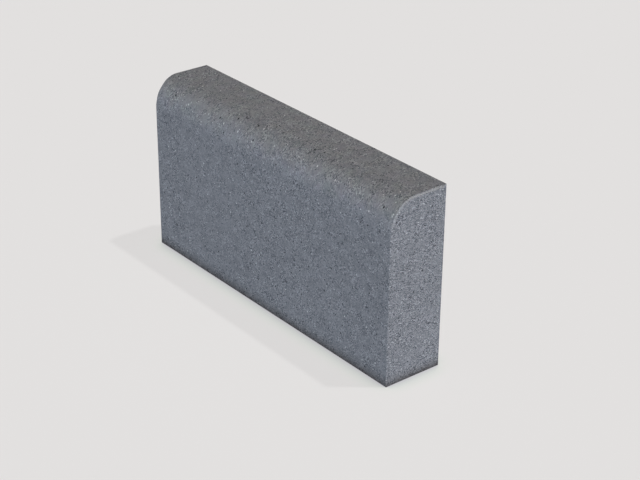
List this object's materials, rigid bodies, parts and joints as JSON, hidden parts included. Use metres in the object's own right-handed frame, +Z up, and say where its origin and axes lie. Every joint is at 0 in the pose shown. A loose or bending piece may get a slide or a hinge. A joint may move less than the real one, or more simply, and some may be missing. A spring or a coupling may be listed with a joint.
{
  "type": "kerb stone",
  "caption": "Straight upright concrete kerb stone: a plain rectangular block with a bullnose along the top of its front face.",
  "frame": {"origin": "centre of the bed, the flat underside that the stone stands on", "axes": "+X along the kerb, +Y from the front (road) face to the back (path) face, +Z up from the bed to the top face"},
  "size_m": [0.6, 0.105, 0.305],
  "materials": {
    "concrete": "cool dark grey cast concrete, matt, with a fine sandy grain and small dark and pale specks"
  },
  "bodies": {
    "root": {"kerb_stone": "concrete"}
  },
  "joints": []
}
